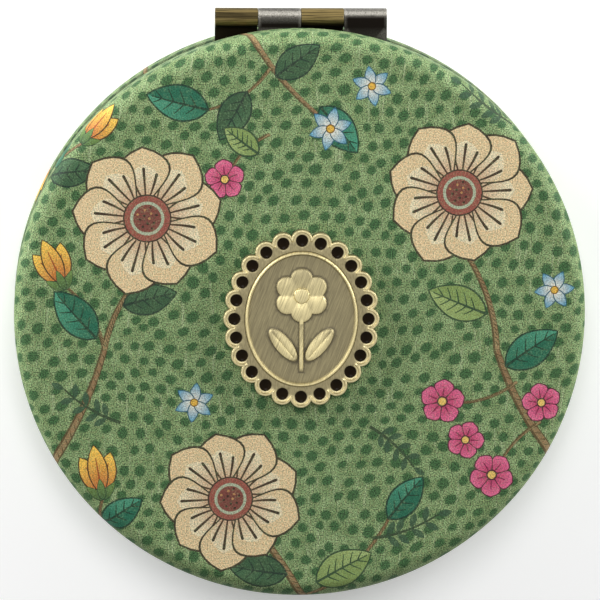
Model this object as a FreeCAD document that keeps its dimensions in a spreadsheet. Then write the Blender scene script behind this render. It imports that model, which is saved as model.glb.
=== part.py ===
"""Round compact mirror: two leather-covered halves on a rolled hinge, with a cast badge on the lid."""
import FreeCAD
import Part
import Sketcher
import math
import os

doc = FreeCAD.newDocument("compact_mirror")

# Driving sizes, in millimetres and degrees
SIZES = {
    # Case: one covered half is a disc with rounded edges
    "case_radius": 35.0,
    "floor_thick": 1.45,
    "parting_gap": 0.2,
    "face_edge_radius": 2.0,
    "parting_edge_radius": 1.5,
    "lid_crown": 0.4,
    "leather_thick": 0.6,
    "turn_in_width": 4.6,
    "glue_gap": 0.05,
    "fit_gap": 0.05,
    "cut_overrun": 1.0,
    # Mirror, its tape and the ring that holds it
    "bezel_width": 2.6,
    "bezel_thick": 0.5,
    "bezel_lip": 0.9,
    "bezel_gap": 0.1,
    "bezel_edge_radius": 0.2,
    "skirt_thick": 0.45,
    "skirt_depth": 1.2,
    "mirror_gap": 0.15,
    "mirror_thick": 1.5,
    "mirror_chamfer": 0.25,
    "mirror_hollow": 0.5,
    "tape_thick": 0.25,
    "tape_margin": 1.5,
    # Hinge
    "hinge_width": 21.0,
    "hinge_overhang": 1.1,
    "knuckle_count": 4,
    "knuckle_gap": 0.15,
    "barrel_radius": 1.2,
    "leaf_thick": 0.45,
    "leaf_gap": 0.15,
    "leaf_plate_depth": 1.3,
    "roll_slit_angle": 20.0,
    "pin_clearance": 0.05,
    "pin_inset": 0.2,
    "rivet_setback": 1.05,
    "rivet_head_radius": 0.8,
    "rivet_head_depth": 0.3,
    "rivet_shank_radius": 0.5,
    "rivet_length": 1.8,
    # Closing magnets in the front of each rim
    "magnet_radius": 1.5,
    "magnet_thick": 1.6,
    "magnet_gap": 0.1,
    "magnet_angle": 9.0,
    # Badge: a scalloped oval plate with a dark dot in each scallop
    "badge_thick": 0.9,
    "dot_count": 24,
    "dot_margin": 1.28,
    "scallop_radius": 1.35,
    "lip_width": 0.35,
    "lip_height": 0.2,
    "dot_radius": 0.72,
    "dot_depth": 0.4,
    "enamel_thick": 0.3,
    "enamel_gap": 0.02,
    "post_spread": 5.0,
    "post_radius": 0.7,
    "nut_radius": 1.6,
    "nut_thick": 0.35,
    "nut_recess": 0.5,
    # Medallion: an oval with a raised rim and a flower in relief
    "medallion_across": 6.9,
    "medallion_along": 8.35,
    "medallion_seat": 0.4,
    "medallion_floor": 0.35,
    "rim_width": 0.47,
    "rim_height": 0.8,
    "relief_height": 0.4,
    "bloom_offset": 2.9,
    "petal_count": 6,
    "petal_ring": 2.0,
    "petal_radius": 1.4,
    "eye_radius": 1.05,
    "eye_height": 0.2,
    "stem_width": 0.6,
    "stem_foot": 6.6,
    "leaflet_offset_across": 2.2,
    "leaflet_offset_along": 3.2,
    "leaflet_half_length": 2.6,
    "leaflet_half_width": 1.05,
    "leaflet_lean": 40.0,
}

# Sizes that follow from the driving ones; levels are measured from the plane between the halves
FITS = {
    "parting_level": "dims.parting_gap / 2",
    "cover_build": "dims.leather_thick + dims.glue_gap",
    "core_rim": "parting_level + cover_build",
    "mirror_front": "core_rim + dims.fit_gap",
    "mirror_back": "mirror_front + dims.mirror_thick",
    "recess_floor": "mirror_back + dims.tape_thick",
    "core_face": "recess_floor + dims.floor_thick",
    "face_level": "core_face + dims.face_edge_radius",
    "core_radius": "dims.case_radius - cover_build",
    "crown_base": "dims.case_radius - dims.face_edge_radius",
    "crown_radius": "(crown_base ^ 2 + dims.lid_crown ^ 2) / (2 * dims.lid_crown)",
    "bezel_outer": "dims.case_radius - dims.turn_in_width - dims.bezel_gap",
    "bezel_inner": "bezel_outer - dims.bezel_width",
    "bezel_top": "core_rim - dims.bezel_thick",
    "mirror_radius": "bezel_inner + dims.bezel_lip",
    "skirt_inner": "mirror_radius + dims.mirror_gap",
    "skirt_outer": "skirt_inner + dims.skirt_thick",
    "hollow_base": "mirror_radius - dims.mirror_chamfer",
    "hollow_radius": "(hollow_base ^ 2 + dims.mirror_hollow ^ 2) / (2 * dims.mirror_hollow)",
    "recess_radius": "skirt_outer + dims.fit_gap",
    "axis_offset": "dims.case_radius + dims.hinge_overhang",
    "leaf_level": "dims.barrel_radius - dims.leaf_thick",
    "leaf_edge": "bezel_outer + dims.leaf_gap",
    "knuckle_pitch": "dims.hinge_width / dims.knuckle_count",
    "knuckle_width": "knuckle_pitch - dims.knuckle_gap",
    "pin_radius": "leaf_level - dims.pin_clearance",
    "rivet_offset": "leaf_edge + dims.rivet_setback",
    "magnet_ring": "(recess_radius + dims.case_radius - dims.parting_edge_radius) / 2",
    "dot_ring_across": "dims.medallion_across + dims.dot_margin",
    "dot_ring_along": "dims.medallion_along + dims.dot_margin",
    "dot_even_share": "(dot_ring_along ^ 2 - dot_ring_across ^ 2)"
                      " / (dot_ring_along ^ 2 + dot_ring_across ^ 2) / 4",
    "badge_seat": "face_level + dims.lid_crown",
    "badge_top": "badge_seat + dims.badge_thick",
    "lip_top": "badge_top + dims.lip_height",
    "medallion_back": "badge_top - dims.medallion_seat",
    "field_level": "medallion_back + dims.medallion_floor",
}

dims = doc.addObject("Spreadsheet::Sheet", "dims")
for row, (alias, number) in enumerate(SIZES.items(), start=1):
    dims.set(f"A{row}", alias)
    dims.set(f"B{row}", str(number))
    dims.setAlias(f"B{row}", alias)
doc.recompute()

fits = doc.addObject("Spreadsheet::Sheet", "fits")
for row, (alias, formula) in enumerate(FITS.items(), start=1):
    fits.set(f"A{row}", alias)
    fits.set(f"B{row}", "=" + formula)
    fits.setAlias(f"B{row}", alias)
doc.recompute()


def value(expression):
    """Present value of an expression of the two sheets."""
    return float(dims.evalExpression(expression))


def bound(item, **expressions):
    """Bind properties of an item to expressions of the sheets; x, y and z are its position."""
    for name, expression in expressions.items():
        if name in ("x", "y", "z"):
            name = "Placement.Base." + name
        item.setExpression(name, expression)
    return item


def outline(body, role, corners, name):
    """Closed sketch on an origin plane of a body.

    A corner is (across, up), each an expression, or (across, up, radius, turn) where the
    side to the next corner is an arc: turn is 1 where it bends left and -1 where it bends
    right, doubled where it is more than half a circle.
    """
    plane = next(item for item in body.Origin.OriginFeatures if item.Role == role)
    sketch = body.newObject("Sketcher::SketchObject", name)
    sketch.AttachmentSupport = [(plane, "")]
    sketch.MapMode = "FlatFace"
    points = [FreeCAD.Vector(value(corner[0]), value(corner[1]), 0) for corner in corners]
    ends = []
    for index, corner in enumerate(corners):
        start = points[index]
        finish = points[(index + 1) % len(points)]
        if len(corner) == 2:
            sketch.addGeometry(Part.LineSegment(start, finish), False)
            ends.append((1, 2))
            continue
        radius = value(corner[2])
        turn = corner[3]
        chord = finish - start
        left = FreeCAD.Vector(-chord.y, chord.x, 0).normalize()
        rise = math.sqrt(max(radius ** 2 - (chord.Length / 2) ** 2, 0))
        side = 1 if turn in (1, -2) else -1
        centre = start + chord / 2 + left * rise * side
        first, last = (start, finish) if turn > 0 else (finish, start)
        angles = [math.atan2(end.y - centre.y, end.x - centre.x) for end in (first, last)]
        circle = Part.Circle(centre, FreeCAD.Vector(0, 0, 1), radius)
        sketch.addGeometry(Part.ArcOfCircle(circle, *angles), False)
        ends.append((1, 2) if turn > 0 else (2, 1))
    for index, corner in enumerate(corners):
        after = (index + 1) % len(corners)
        sketch.addConstraint(Sketcher.Constraint("Coincident", index, ends[index][1], after, ends[after][0]))
        for kind, axis, expression in (("DistanceX", -2, corner[0]), ("DistanceY", -1, corner[1])):
            if expression == "0":
                sketch.addConstraint(Sketcher.Constraint("PointOnObject", index, ends[index][0], axis))
                continue
            hold = Sketcher.Constraint(kind, -1, 1, index, ends[index][0], value(expression))
            number = sketch.addConstraint(hold)
            sketch.setExpression(f"Constraints[{number}]", expression)
        if len(corner) > 2:
            number = sketch.addConstraint(Sketcher.Constraint("Radius", index, value(corner[2])))
            sketch.setExpression(f"Constraints[{number}]", corner[2])
    return sketch


def lathe(label, corners):
    """Body turned about Z from a closed half section of (radius, level) corners."""
    body = doc.addObject("PartDesign::Body", label)
    sketch = outline(body, "XZ_Plane", corners, label + "_section")
    turned = body.newObject("PartDesign::Revolution", label + "_turned")
    turned.Profile = sketch
    turned.ReferenceAxis = (sketch, ["V_Axis"])
    turned.Angle = 360.0
    body.Tip = turned
    return body


def rod(label, radius, low, high, x="0", y="0"):
    """Upright cylinder between two levels."""
    item = doc.addObject("Part::Cylinder", label)
    return bound(item, Radius=radius, Height=f"({high}) - ({low})", x=x, y=y, z=low)


def cone(label, low_radius, high_radius, low, high, x, y):
    """Upright cone between two levels."""
    item = doc.addObject("Part::Cone", label)
    bound(item, Radius1=low_radius, Radius2=high_radius, Height=f"({high}) - ({low})")
    return bound(item, x=x, y=y, z=low)


def block(label, middle, width, front, back, low, high):
    """Box of a width about x = middle, from front to back along Y, between two levels."""
    item = doc.addObject("Part::Box", label)
    bound(item, Length=width, Width=f"({back}) - ({front})", Height=f"({high}) - ({low})")
    return bound(item, x=f"({middle}) - ({width}) / 2", y=front, z=low)


def oval(label, across, along, low, high, x="0", y="0", lean="0"):
    """Upright oval prism between two levels; lean turns it clockwise, in degrees."""
    ring = doc.addObject("Part::Ellipse", label + "_ring")
    ring.Placement.Rotation = FreeCAD.Rotation(FreeCAD.Vector(0, 0, 1), 90)
    bound(ring, MajorRadius=f"max({along}; {across})", MinorRadius=f"min({along}; {across})")
    quarter = f"({along} >= {across} ? 90 : 0)"
    bound(ring, **{"Placement.Rotation.Angle": f"{quarter} - ({lean})"})
    bound(ring, x=x, y=y, z=low)
    item = doc.addObject("Part::Extrusion", label)
    item.Base = ring
    item.DirMode = "Custom"
    item.Dir = FreeCAD.Vector(0, 0, 1)
    item.Solid = True
    return bound(item, LengthFwd=f"({high}) - ({low})")


def fused(label, shapes):
    item = doc.addObject("Part::MultiFuse", label)
    item.Shapes = shapes
    return item


def carved(label, base, tools):
    """A piece less its cutting tools."""
    item = doc.addObject("Part::Cut", label)
    item.Base = base
    item.Tool = tools[0] if len(tools) == 1 else fused(label + "_tools", tools)
    return item


def grouped(label, shapes):
    item = doc.addObject("Part::Compound", label)
    item.Links = shapes
    return item


nodes = []


def seated(item, name, half):
    """Name a finished piece and put it in its half: the base's pieces are the lid's, turned over."""
    item.Label = name
    if half == "base":
        item.Placement.Rotation = FreeCAD.Rotation(FreeCAD.Vector(0, 1, 0), 180)
    bound(item, z="fits.face_level")
    nodes.append(item)
    return item


# The lid has every second knuckle, and the base, turned over, has the others
lid_knuckles = range(1, int(dims.knuckle_count), 2)
posts = ("dims.post_spread", "-dims.post_spread")
magnet_turns = ("dims.magnet_angle", "-dims.magnet_angle")


def knuckle_middle(number):
    """Where a knuckle is along the pin, counted from the left."""
    return f"fits.knuckle_pitch * ({number} + 1 / 2) - dims.hinge_width / 2"


def leaf_spaces(label, grow):
    """Room for one hinge leaf: its plate and its two straps, larger by a gap all round."""
    low = f"fits.leaf_level - {grow}"
    high = f"dims.barrel_radius + {grow}"
    front = f"fits.leaf_edge - {grow}"
    spaces = [
        block(label + "_plate", "0", f"dims.hinge_width + 2 * {grow}", front,
              f"fits.leaf_edge + dims.leaf_plate_depth + {grow}", low, high)
    ]
    for number in lid_knuckles:
        spaces.append(
            block(f"{label}_strap_{number}", knuckle_middle(number), f"fits.knuckle_width + 2 * {grow}",
                  front, "fits.axis_offset", low, high)
        )
    return spaces


def leather_section(crowned):
    """Half section of a cover: face, rounded edge, wall, rounded edge and turn-in."""
    rise = " + dims.lid_crown" if crowned else ""
    skin = "dims.leather_thick"
    face_in = f"dims.face_edge_radius - {skin}"
    parting_in = f"dims.parting_edge_radius - {skin}"
    wall_in = f"dims.case_radius - {skin}"
    turned_in = "dims.case_radius - dims.turn_in_width"
    shoulder = "dims.case_radius - dims.parting_edge_radius"
    wall_top = "fits.face_level - dims.face_edge_radius"
    wall_foot = "fits.parting_level + dims.parting_edge_radius"
    under = f"fits.parting_level + {skin}"
    over_arc = ("fits.crown_radius", -1) if crowned else ()
    under_arc = ("fits.crown_radius", 1) if crowned else ()
    return [
        ("0", f"fits.face_level{rise}", *over_arc),
        ("fits.crown_base", "fits.face_level", "dims.face_edge_radius", -1),
        ("dims.case_radius", wall_top),
        ("dims.case_radius", wall_foot, "dims.parting_edge_radius", -1),
        (shoulder, "fits.parting_level"),
        (turned_in, "fits.parting_level"),
        (turned_in, under),
        (shoulder, under, parting_in, 1),
        (wall_in, wall_foot),
        (wall_in, wall_top, face_in, 1),
        ("fits.crown_base", f"fits.face_level - {skin}", *under_arc),
        ("0", f"fits.face_level{rise} - {skin}"),
    ]


def pad_section(crowned):
    """Half section of a foam pad: flat on the core, full and rounded under the cover."""
    rise = " + dims.lid_crown" if crowned else ""
    arc = ("fits.crown_radius", -1) if crowned else ()
    return [
        ("0", f"fits.face_level{rise} - fits.cover_build", *arc),
        ("fits.crown_base", "fits.face_level - fits.cover_build",
         "dims.face_edge_radius - fits.cover_build", -1),
        ("fits.core_radius", "fits.core_face"),
        ("0", "fits.core_face"),
    ]


def core_section():
    """Half section of a moulded core: a dish whose recess takes the mirror and its ring."""
    shoulder = "dims.case_radius - dims.parting_edge_radius"
    rounding = "dims.parting_edge_radius - fits.cover_build"
    return [
        ("0", "fits.core_face"),
        ("fits.core_radius", "fits.core_face"),
        ("fits.core_radius", "fits.parting_level + dims.parting_edge_radius", rounding, -1),
        (shoulder, "fits.core_rim"),
        ("fits.recess_radius", "fits.core_rim"),
        ("fits.recess_radius", "fits.recess_floor"),
        ("0", "fits.recess_floor"),
    ]


def bezel_section():
    """Half section of a stamped ring: a flange over the mirror's edge and a skirt round it."""
    edge = "dims.bezel_edge_radius"
    return [
        (f"fits.bezel_inner + {edge}", "fits.bezel_top"),
        (f"fits.bezel_outer - {edge}", "fits.bezel_top", edge, 1),
        ("fits.bezel_outer", f"fits.bezel_top + {edge}"),
        ("fits.bezel_outer", "fits.core_rim"),
        ("fits.skirt_outer", "fits.core_rim"),
        ("fits.skirt_outer", "fits.core_rim + dims.skirt_depth"),
        ("fits.skirt_inner", "fits.core_rim + dims.skirt_depth"),
        ("fits.skirt_inner", "fits.core_rim"),
        ("fits.bezel_inner", "fits.core_rim"),
        ("fits.bezel_inner", f"fits.bezel_top + {edge}", edge, 1),
    ]


def mirror_section(hollow):
    """Half section of a glass disc with a chamfered front edge; a magnifier's front is hollow."""
    edge = "dims.mirror_chamfer"
    middle = "fits.mirror_front + dims.mirror_hollow" if hollow else "fits.mirror_front"
    arc = ("fits.hollow_radius", -1) if hollow else ()
    return [
        ("0", middle, *arc),
        (f"fits.mirror_radius - {edge}", "fits.mirror_front"),
        ("fits.mirror_radius", f"fits.mirror_front + {edge}"),
        ("fits.mirror_radius", "fits.mirror_back"),
        ("0", "fits.mirror_back"),
    ]


# Each half: cover, pad, core, ring, mirror, tape, magnets and hinge leaf with its rivets
for half in ("lid", "base"):
    is_lid = half == "lid"

    leather = lathe(half + "_leather_wrap", leather_section(is_lid))
    openings = leaf_spaces(half + "_leather_slot", "dims.fit_gap")
    if is_lid:
        for number, along in enumerate(posts):
            openings.append(
                rod(f"lid_leather_post_hole_{number}", "dims.post_radius + dims.fit_gap", "fits.core_face",
                    "fits.badge_seat + dims.cut_overrun", y=along)
            )
    seated(carved(half + "_leather_cut", leather, openings), half + "_leather", half)

    pad = lathe(half + "_pad_foam", pad_section(is_lid))
    if is_lid:
        holes = [
            rod(f"lid_pad_post_hole_{number}", "dims.post_radius + dims.fit_gap",
                "fits.core_face - dims.cut_overrun", "fits.badge_seat", y=along)
            for number, along in enumerate(posts)
        ]
        pad = carved("lid_pad_cut", pad, holes)
    seated(pad, half + "_pad", half)

    core = lathe(half + "_core_dish", core_section())
    pockets = [
        block(half + "_core_leaf_pocket", "0", "dims.hinge_width + 2 * dims.fit_gap",
              "fits.leaf_edge - dims.fit_gap", "dims.case_radius + dims.cut_overrun",
              "fits.core_rim - dims.cut_overrun", "dims.barrel_radius")
    ]
    for number in lid_knuckles:
        pockets.append(
            rod(f"{half}_core_rivet_hole_{number}", "dims.rivet_shank_radius",
                "fits.leaf_level", "fits.leaf_level + dims.rivet_length + dims.fit_gap",
                x=knuckle_middle(number), y="fits.rivet_offset")
        )
    for number, turn in enumerate(magnet_turns):
        pockets.append(
            rod(f"{half}_core_magnet_pocket_{number}", "dims.magnet_radius + dims.magnet_gap",
                "fits.core_rim - dims.cut_overrun", "fits.core_rim + dims.magnet_gap + dims.magnet_thick",
                x=f"fits.magnet_ring * sin({turn} * 1 deg)", y=f"-fits.magnet_ring * cos({turn} * 1 deg)")
        )
    if is_lid:
        for number, along in enumerate(posts):
            pockets.append(
                rod(f"lid_core_post_hole_{number}", "dims.post_radius + dims.fit_gap",
                    "fits.recess_floor - dims.cut_overrun", "fits.core_face + dims.cut_overrun", y=along)
            )
            pockets.append(
                rod(f"lid_core_nut_recess_{number}", "dims.nut_radius + dims.fit_gap",
                    "fits.recess_floor - dims.cut_overrun", "fits.recess_floor + dims.nut_recess", y=along)
            )
    seated(carved(half + "_core_cut", core, pockets), half + "_core", half)

    seated(lathe(half + "_bezel_ring", bezel_section()), half + "_bezel", half)
    seated(lathe(half + "_mirror_glass", mirror_section(not is_lid)), half + "_mirror", half)
    tape = rod(half + "_tape_disc", "fits.mirror_radius - dims.tape_margin", "fits.mirror_back",
               "fits.recess_floor")
    seated(grouped(half + "_tape", [tape]), half + "_mirror_tape", half)

    magnets = [
        rod(f"{half}_magnet_{number}", "dims.magnet_radius", "fits.core_rim + dims.magnet_gap",
            "fits.core_rim + dims.magnet_gap + dims.magnet_thick",
            x=f"fits.magnet_ring * sin({turn} * 1 deg)", y=f"-fits.magnet_ring * cos({turn} * 1 deg)")
        for number, turn in enumerate(magnet_turns)
    ]
    seated(grouped(half + "_magnet_pair", magnets), half + "_magnets", half)

    # Leaf: sheet brass, flat in the core and rolled round the pin in every second knuckle
    sheet = doc.addObject("PartDesign::Body", half + "_leaf_sheet")
    bore = "fits.leaf_level"
    roll = outline(sheet, "YZ_Plane", [
        ("fits.leaf_edge", bore),
        ("fits.axis_offset", bore, bore, -2),
        (f"fits.axis_offset - {bore} * cos(dims.roll_slit_angle * 1 deg)",
         f"{bore} * sin(dims.roll_slit_angle * 1 deg)"),
        ("fits.axis_offset - dims.barrel_radius * cos(dims.roll_slit_angle * 1 deg)",
         "dims.barrel_radius * sin(dims.roll_slit_angle * 1 deg)", "dims.barrel_radius", 2),
        ("fits.axis_offset", "dims.barrel_radius"),
        ("fits.leaf_edge", "dims.barrel_radius"),
    ], half + "_leaf_roll")
    roll.setExpression("AttachmentOffset.Base.z", knuckle_middle(lid_knuckles[0]))
    knuckle = sheet.newObject("PartDesign::Pad", half + "_leaf_knuckle")
    knuckle.Profile = roll
    knuckle.SideType = "Symmetric"
    knuckle.setExpression("Length", "fits.knuckle_width")
    flat = outline(sheet, "XY_Plane", [
        ("-dims.hinge_width / 2", "fits.leaf_edge"),
        ("dims.hinge_width / 2", "fits.leaf_edge"),
        ("dims.hinge_width / 2", "fits.leaf_edge + dims.leaf_plate_depth"),
        ("-dims.hinge_width / 2", "fits.leaf_edge + dims.leaf_plate_depth"),
    ], half + "_leaf_flat")
    flat.setExpression("AttachmentOffset.Base.z", "fits.leaf_level")
    plate = sheet.newObject("PartDesign::Pad", half + "_leaf_plate")
    plate.Profile = flat
    plate.setExpression("Length", "dims.leaf_thick")
    doc.recompute()
    row = sheet.newObject("PartDesign::LinearPattern", half + "_leaf_knuckles")
    row.Originals = [knuckle]
    row.Direction = (roll, ["N_Axis"])
    row.Occurrences = len(lid_knuckles)
    row.setExpression("Length", f"fits.knuckle_pitch * 2 * {len(lid_knuckles) - 1}")
    sheet.Tip = row
    sinks = []
    rivets = []
    for number in lid_knuckles:
        place = {"x": knuckle_middle(number), "y": "fits.rivet_offset"}
        head_end = "fits.leaf_level + dims.rivet_head_depth"
        sinks.append(
            cone(f"{half}_leaf_sink_{number}", "dims.rivet_head_radius + dims.fit_gap",
                 "dims.rivet_shank_radius + dims.fit_gap", "fits.leaf_level", head_end, **place)
        )
        sinks.append(
            rod(f"{half}_leaf_hole_{number}", "dims.rivet_shank_radius + dims.fit_gap", head_end,
                "dims.barrel_radius + dims.cut_overrun", **place)
        )
        head = cone(f"{half}_rivet_head_{number}", "dims.rivet_head_radius", "dims.rivet_shank_radius",
                    "fits.leaf_level", head_end, **place)
        shank = rod(f"{half}_rivet_shank_{number}", "dims.rivet_shank_radius", head_end,
                    "fits.leaf_level + dims.rivet_length", **place)
        rivets.append(fused(f"{half}_rivet_{number}", [head, shank]))
    seated(carved(half + "_leaf_drilled", sheet, sinks), f"hinge_{half}_leaf", half)
    seated(grouped(half + "_rivet_pair", rivets), half + "_leaf_rivets", half)

# Pin: plain rod through all four knuckles, held in the base's
pin = doc.addObject("Part::Cylinder", "pin_rod")
pin.Placement.Rotation = FreeCAD.Rotation(FreeCAD.Vector(0, 1, 0), 90)
bound(pin, Radius="fits.pin_radius", Height="dims.hinge_width - 2 * dims.pin_inset",
      x="dims.pin_inset - dims.hinge_width / 2", y="fits.axis_offset", z="fits.face_level")
pin.Label = "hinge_pin"
nodes.append(pin)

# Badge plate: scalloped oval casting with a raised lip, a dimple in each scallop and two posts behind
dots = []
for number in range(int(dims.dot_count)):
    step = f"{number} * 360 deg / dims.dot_count"
    evened = f"({step} - fits.dot_even_share * 1 rad * sin(2 * {step}))"
    dots.append((f"fits.dot_ring_across * cos{evened}", f"fits.dot_ring_along * sin{evened}"))
ring_oval = ("fits.dot_ring_across", "fits.dot_ring_along")
above = "fits.lip_top + dims.cut_overrun"
floor = "fits.badge_top - dims.dot_depth"
casting = [oval("badge_oval", *ring_oval, "fits.badge_seat", "fits.lip_top")]
sunk = [oval("badge_band", *ring_oval, "fits.badge_top", above)]
enamels = []
for number, (across, along) in enumerate(dots):
    casting.append(
        rod(f"badge_scallop_{number}", "dims.scallop_radius", "fits.badge_seat", "fits.lip_top",
            x=across, y=along)
    )
    sunk.append(
        rod(f"badge_hollow_{number}", "dims.scallop_radius - dims.lip_width", "fits.badge_top", above,
            x=across, y=along)
    )
    sunk.append(rod(f"badge_dimple_{number}", "dims.dot_radius", floor, above, x=across, y=along))
    enamels.append(
        rod(f"badge_enamel_{number}", "dims.dot_radius - dims.enamel_gap", floor,
            f"{floor} + dims.enamel_thick", x=across, y=along)
    )
for number, along in enumerate(posts):
    casting.append(
        rod(f"badge_post_{number}", "dims.post_radius", "fits.recess_floor + dims.fit_gap",
            "fits.badge_seat + dims.fit_gap", y=along)
    )
seat = oval("badge_seat_cut", "dims.medallion_across + dims.fit_gap", "dims.medallion_along + dims.fit_gap",
            "fits.medallion_back", above)
seated(carved("badge_cast", fused("badge_blank", casting), [seat] + sunk), "badge_plate", "lid")
seated(grouped("badge_enamel", enamels), "badge_enamel_dots", "lid")

nuts = []
for number, along in enumerate(posts):
    washer = rod(f"badge_nut_blank_{number}", "dims.nut_radius",
                 "fits.recess_floor + dims.nut_recess - dims.nut_thick",
                 "fits.recess_floor + dims.nut_recess", y=along)
    bore = rod(f"badge_nut_bore_{number}", "dims.post_radius + dims.enamel_gap", "fits.recess_floor",
               "fits.core_face", y=along)
    nuts.append(carved(f"badge_nut_{number}", washer, [bore]))
seated(grouped("badge_nuts", nuts), "badge_push_nuts", "lid")

# Medallion: oval casting with a raised rim, and a flower on a stem with two leaves in relief
rim = carved(
    "medallion_rim",
    oval("medallion_rim_blank", "dims.medallion_across", "dims.medallion_along", "fits.medallion_back",
         "fits.medallion_back + dims.rim_height"),
    [oval("medallion_field_cut", "dims.medallion_across - dims.rim_width",
          "dims.medallion_along - dims.rim_width", "fits.field_level",
          "fits.medallion_back + dims.rim_height + dims.cut_overrun")],
)
relief_top = "fits.field_level + dims.relief_height"
relief = [
    rod("medallion_eye", "dims.eye_radius", "fits.medallion_back", f"{relief_top} + dims.eye_height",
        y="dims.bloom_offset"),
    block("medallion_stem", "0", "dims.stem_width", "-dims.stem_foot", "dims.bloom_offset",
          "fits.medallion_back", relief_top),
]
for number in range(int(dims.petal_count)):
    turn = f"({number} * 360 deg / dims.petal_count + 90 deg)"
    relief.append(
        rod(f"medallion_petal_{number}", "dims.petal_radius", "fits.medallion_back", relief_top,
            x=f"dims.petal_ring * cos{turn}", y=f"dims.bloom_offset + dims.petal_ring * sin{turn}")
    )
for name, sign in (("left", -1), ("right", 1)):
    relief.append(
        oval(f"medallion_leaflet_{name}", "dims.leaflet_half_width", "dims.leaflet_half_length",
             "fits.medallion_back", relief_top, x=f"{sign} * dims.leaflet_offset_across",
             y="-dims.leaflet_offset_along", lean=f"{sign} * dims.leaflet_lean")
    )
seated(fused("medallion_cast", [rim] + relief), "badge_medallion", "lid")

doc.recompute()
faults = [item.Name for item in doc.Objects if "Invalid" in item.State or "Error" in item.State]
faults += [item.Label for item in nodes if item.Shape.isNull() or not item.Shape.isValid()]
faults += [item.Label for item in nodes if not item.Shape.Solids]
if faults:
    raise RuntimeError("failed: " + ", ".join(faults))
os.makedirs("parts", exist_ok=True)
for item in nodes:
    item.Shape.exportStep(f"parts/{item.Label}.step")
    print(item.Label, len(item.Shape.Solids), round(item.Shape.Volume, 2))
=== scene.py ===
import math

import bmesh
import bpy
from mathutils import Euler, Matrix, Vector
from mathutils.geometry import delaunay_2d_cdt


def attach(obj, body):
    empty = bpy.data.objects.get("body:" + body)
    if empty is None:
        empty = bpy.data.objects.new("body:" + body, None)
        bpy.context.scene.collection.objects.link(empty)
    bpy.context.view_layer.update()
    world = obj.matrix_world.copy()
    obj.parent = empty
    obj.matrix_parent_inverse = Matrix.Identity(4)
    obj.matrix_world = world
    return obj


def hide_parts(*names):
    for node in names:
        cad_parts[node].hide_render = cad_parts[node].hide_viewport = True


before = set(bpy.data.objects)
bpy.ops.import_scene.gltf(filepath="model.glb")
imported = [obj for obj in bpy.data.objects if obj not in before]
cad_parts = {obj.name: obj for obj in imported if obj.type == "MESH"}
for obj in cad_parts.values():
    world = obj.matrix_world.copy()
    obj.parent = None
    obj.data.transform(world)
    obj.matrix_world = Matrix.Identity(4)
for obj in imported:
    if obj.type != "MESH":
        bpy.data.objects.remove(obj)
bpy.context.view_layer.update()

# Cores: the dish inside each half, which the mirror, hinge leaf, badge and cover are fixed to.
# Black ABS from a spark-eroded mould, so it is dull with a fine even grain. They are the CAD solids.
MM = 0.001


def linear(colour):
    """Linear RGBA of an sRGB hex colour."""
    parts = [int(colour[at:at + 2], 16) / 255 for at in (0, 2, 4)]
    return [part / 12.92 if part <= 0.04045 else ((part + 0.055) / 1.055) ** 2.4 for part in parts] + [1.0]


def add(tree, kind, settings=None, links=None):
    """Add a node: settings go to its properties and sockets, and links join its sockets to other nodes.
    A number is a socket's place: a colour mix has its colours at 6 and 7, a map range its limits at 1-4."""
    node = tree.nodes.new("ShaderNode" + kind)
    for key, setting in (settings or {}).items():
        if isinstance(key, str) and hasattr(node, key):
            setattr(node, key, setting)
        else:
            node.inputs[key].default_value = setting
    for key, source in (links or {}).items():
        tree.links.new(source.outputs[0] if hasattr(source, "outputs") else source, node.inputs[key])
    return node


def new_finish(name):
    """An empty material named for a real finish, and its node tree."""
    material = bpy.data.materials.new(name)
    material.use_nodes = True
    material.node_tree.nodes.clear()
    return material, material.node_tree


def grained(name, grain, low, high, rough=None, relief=None, pattern="TexNoise", settings=None,
            surface=None):
    """A finish that follows a pattern of the size grain, in mm along each axis: its colour from low to high,
    its roughness over the range rough, and its relief, given as strength and depth in mm."""
    material, tree = new_finish(name)
    place = add(tree, "TexCoord").outputs["Object"]
    scaled = add(tree, "Mapping", {"vector_type": "TEXTURE", "Scale": [size * MM for size in grain]},
                 {"Vector": place})
    fleck = add(tree, pattern, {"Scale": 1.0, **(settings or {})}, {"Vector": scaled})
    shade = add(tree, "Mix", {"data_type": "RGBA", 6: linear(low), 7: linear(high)}, {0: fleck})
    links = {"Base Color": shade.outputs[2]}
    if rough:
        links["Roughness"] = add(tree, "MapRange", {3: rough[0], 4: rough[1]}, {0: fleck})
    if relief:
        strength, depth = relief
        links["Normal"] = add(tree, "Bump", {"Strength": strength, "Distance": depth * MM},
                              {"Height": fleck})
    skin = add(tree, "BsdfPrincipled", surface, links)
    add(tree, "OutputMaterial", links={"Surface": skin})
    return material


def dress(material, slot, *names):
    """Give CAD nodes their finish."""
    for name in names:
        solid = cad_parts[name]
        solid.data.materials.clear()
        solid.data.materials.append(material)


# Moulded ABS: near-black plastic, its spark grain of a quarter millimetre breaking up the highlight
moulded_abs = grained("moulded ABS with spark grain", (0.25, 0.25, 0.25), "1B1B1A", "2A2A28", (0.5, 0.68),
                      relief=(0.4, 0.03), settings={"Detail": 3.0}, surface={"IOR": 1.53})
dress(moulded_abs, "moulded_core", "base_core", "lid_core")

# Magnets: two small discs pressed into the front of each rim, which hold the case shut.
# Sintered neodymium with a bright nickel plate, tumbled, so its gloss is a little uneven.
nickel_plate = grained("tumbled nickel plate", (0.4, 0.4, 0.4), "A9A79F", "CFCDC6", (0.18, 0.34),
                       settings={"Detail": 4.0}, surface={"Metallic": 1.0})
dress(nickel_plate, "nickel_magnet", "base_magnets", "lid_magnets")

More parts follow.
